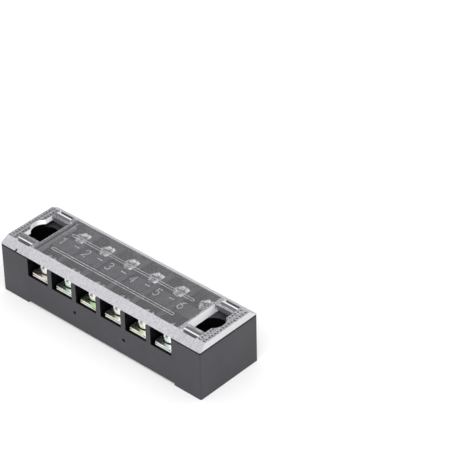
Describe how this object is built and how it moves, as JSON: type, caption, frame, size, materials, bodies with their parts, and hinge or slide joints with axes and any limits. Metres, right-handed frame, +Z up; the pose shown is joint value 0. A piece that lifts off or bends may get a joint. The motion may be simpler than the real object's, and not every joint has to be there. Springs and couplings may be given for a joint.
{
  "type": "barrier terminal strip",
  "caption": "Double-row barrier terminal strip: dark moulded base with screw clamps in open wire entries, conductor strips and a clear lift-off cover.",
  "frame": {"origin": "middle of the underside of the base", "axes": "+X along the strip, +Y across it towards the rear row of terminals, +Z up, away from the mounting surface"},
  "size_m": [0.066, 0.0198, 0.0155],
  "materials": {
    "base_moulding": "satin charcoal moulded thermoset",
    "cover_clear": "clear moulded polycarbonate with frosted edges",
    "conductor": "plated strip, slightly iridescent",
    "clamp_plate": "zinc-plated steel plate, iridescent passivation",
    "screw": "zinc-plated steel, iridescent passivation"
  },
  "bodies": {
    "base": {"base": "base_moulding", "conductor_strip_1": "conductor", "conductor_strip_2": "conductor", "conductor_strip_3": "conductor", "conductor_strip_4": "conductor", "conductor_strip_5": "conductor", "conductor_strip_6": "conductor"},
    "cover": {"cover": "cover_clear"},
    "clamp_front_1": {"clamp_plate_front_1": "clamp_plate"},
    "screw_front_1": {"screw_front_1": "screw"},
    "clamp_front_2": {"clamp_plate_front_2": "clamp_plate"},
    "screw_front_2": {"screw_front_2": "screw"},
    "clamp_front_3": {"clamp_plate_front_3": "clamp_plate"},
    "screw_front_3": {"screw_front_3": "screw"},
    "clamp_front_4": {"clamp_plate_front_4": "clamp_plate"},
    "screw_front_4": {"screw_front_4": "screw"},
    "clamp_front_5": {"clamp_plate_front_5": "clamp_plate"},
    "screw_front_5": {"screw_front_5": "screw"},
    "clamp_front_6": {"clamp_plate_front_6": "clamp_plate"},
    "screw_front_6": {"screw_front_6": "screw"},
    "clamp_rear_1": {"clamp_plate_rear_1": "clamp_plate"},
    "screw_rear_1": {"screw_rear_1": "screw"},
    "clamp_rear_2": {"clamp_plate_rear_2": "clamp_plate"},
    "screw_rear_2": {"screw_rear_2": "screw"},
    "clamp_rear_3": {"clamp_plate_rear_3": "clamp_plate"},
    "screw_rear_3": {"screw_rear_3": "screw"},
    "clamp_rear_4": {"clamp_plate_rear_4": "clamp_plate"},
    "screw_rear_4": {"screw_rear_4": "screw"},
    "clamp_rear_5": {"clamp_plate_rear_5": "clamp_plate"},
    "screw_rear_5": {"screw_rear_5": "screw"},
    "clamp_rear_6": {"clamp_plate_rear_6": "clamp_plate"},
    "screw_rear_6": {"screw_rear_6": "screw"}
  },
  "joints": [
    {"name": "cover_lift", "type": "slide", "parent": "base", "child": "cover", "axis": [0, 0, 1], "range_m": [0, 0.012]},
    {"name": "clamp_rise_front_1", "type": "slide", "parent": "base", "child": "clamp_front_1", "axis": [0, 0, 1], "range_m": [0, 0.001]},
    {"name": "screw_turn_front_1", "type": "hinge", "parent": "clamp_front_1", "child": "screw_front_1", "pos_m": [-0.0205, -0.0059, 0.0121], "axis": [0, 0, 1], "range_deg": [0, 720]},
    {"name": "clamp_rise_front_2", "type": "slide", "parent": "base", "child": "clamp_front_2", "axis": [0, 0, 1], "range_m": [0, 0.001]},
    {"name": "screw_turn_front_2", "type": "hinge", "parent": "clamp_front_2", "child": "screw_front_2", "pos_m": [-0.0123, -0.0059, 0.0121], "axis": [0, 0, 1], "range_deg": [0, 720]},
    {"name": "clamp_rise_front_3", "type": "slide", "parent": "base", "child": "clamp_front_3", "axis": [0, 0, 1], "range_m": [0, 0.001]},
    {"name": "screw_turn_front_3", "type": "hinge", "parent": "clamp_front_3", "child": "screw_front_3", "pos_m": [-0.0041, -0.0059, 0.0121], "axis": [0, 0, 1], "range_deg": [0, 720]},
    {"name": "clamp_rise_front_4", "type": "slide", "parent": "base", "child": "clamp_front_4", "axis": [0, 0, 1], "range_m": [0, 0.001]},
    {"name": "screw_turn_front_4", "type": "hinge", "parent": "clamp_front_4", "child": "screw_front_4", "pos_m": [0.0041, -0.0059, 0.0121], "axis": [0, 0, 1], "range_deg": [0, 720]},
    {"name": "clamp_rise_front_5", "type": "slide", "parent": "base", "child": "clamp_front_5", "axis": [0, 0, 1], "range_m": [0, 0.001]},
    {"name": "screw_turn_front_5", "type": "hinge", "parent": "clamp_front_5", "child": "screw_front_5", "pos_m": [0.0123, -0.0059, 0.0121], "axis": [0, 0, 1], "range_deg": [0, 720]},
    {"name": "clamp_rise_front_6", "type": "slide", "parent": "base", "child": "clamp_front_6", "axis": [0, 0, 1], "range_m": [0, 0.001]},
    {"name": "screw_turn_front_6", "type": "hinge", "parent": "clamp_front_6", "child": "screw_front_6", "pos_m": [0.0205, -0.0059, 0.0121], "axis": [0, 0, 1], "range_deg": [0, 720]},
    {"name": "clamp_rise_rear_1", "type": "slide", "parent": "base", "child": "clamp_rear_1", "axis": [0, 0, 1], "range_m": [0, 0.001]},
    {"name": "screw_turn_rear_1", "type": "hinge", "parent": "clamp_rear_1", "child": "screw_rear_1", "pos_m": [-0.0205, 0.0059, 0.0121], "axis": [0, 0, 1], "range_deg": [0, 720]},
    {"name": "clamp_rise_rear_2", "type": "slide", "parent": "base", "child": "clamp_rear_2", "axis": [0, 0, 1], "range_m": [0, 0.001]},
    {"name": "screw_turn_rear_2", "type": "hinge", "parent": "clamp_rear_2", "child": "screw_rear_2", "pos_m": [-0.0123, 0.0059, 0.0121], "axis": [0, 0, 1], "range_deg": [0, 720]},
    {"name": "clamp_rise_rear_3", "type": "slide", "parent": "base", "child": "clamp_rear_3", "axis": [0, 0, 1], "range_m": [0, 0.001]},
    {"name": "screw_turn_rear_3", "type": "hinge", "parent": "clamp_rear_3", "child": "screw_rear_3", "pos_m": [-0.0041, 0.0059, 0.0121], "axis": [0, 0, 1], "range_deg": [0, 720]},
    {"name": "clamp_rise_rear_4", "type": "slide", "parent": "base", "child": "clamp_rear_4", "axis": [0, 0, 1], "range_m": [0, 0.001]},
    {"name": "screw_turn_rear_4", "type": "hinge", "parent": "clamp_rear_4", "child": "screw_rear_4", "pos_m": [0.0041, 0.0059, 0.0121], "axis": [0, 0, 1], "range_deg": [0, 720]},
    {"name": "clamp_rise_rear_5", "type": "slide", "parent": "base", "child": "clamp_rear_5", "axis": [0, 0, 1], "range_m": [0, 0.001]},
    {"name": "screw_turn_rear_5", "type": "hinge", "parent": "clamp_rear_5", "child": "screw_rear_5", "pos_m": [0.0123, 0.0059, 0.0121], "axis": [0, 0, 1], "range_deg": [0, 720]},
    {"name": "clamp_rise_rear_6", "type": "slide", "parent": "base", "child": "clamp_rear_6", "axis": [0, 0, 1], "range_m": [0, 0.001]},
    {"name": "screw_turn_rear_6", "type": "hinge", "parent": "clamp_rear_6", "child": "screw_rear_6", "pos_m": [0.0205, 0.0059, 0.0121], "axis": [0, 0, 1], "range_deg": [0, 720]}
  ],
  "couplings": [
    {"joint": "screw_turn_front_1", "follows": "clamp_rise_front_1", "rad_per_m": 12566},
    {"joint": "screw_turn_front_2", "follows": "clamp_rise_front_2", "rad_per_m": 12566},
    {"joint": "screw_turn_front_3", "follows": "clamp_rise_front_3", "rad_per_m": 12566},
    {"joint": "screw_turn_front_4", "follows": "clamp_rise_front_4", "rad_per_m": 12566},
    {"joint": "screw_turn_front_5", "follows": "clamp_rise_front_5", "rad_per_m": 12566},
    {"joint": "screw_turn_front_6", "follows": "clamp_rise_front_6", "rad_per_m": 12566},
    {"joint": "screw_turn_rear_1", "follows": "clamp_rise_rear_1", "rad_per_m": 12566},
    {"joint": "screw_turn_rear_2", "follows": "clamp_rise_rear_2", "rad_per_m": 12566},
    {"joint": "screw_turn_rear_3", "follows": "clamp_rise_rear_3", "rad_per_m": 12566},
    {"joint": "screw_turn_rear_4", "follows": "clamp_rise_rear_4", "rad_per_m": 12566},
    {"joint": "screw_turn_rear_5", "follows": "clamp_rise_rear_5", "rad_per_m": 12566},
    {"joint": "screw_turn_rear_6", "follows": "clamp_rise_rear_6", "rad_per_m": 12566}
  ]
}
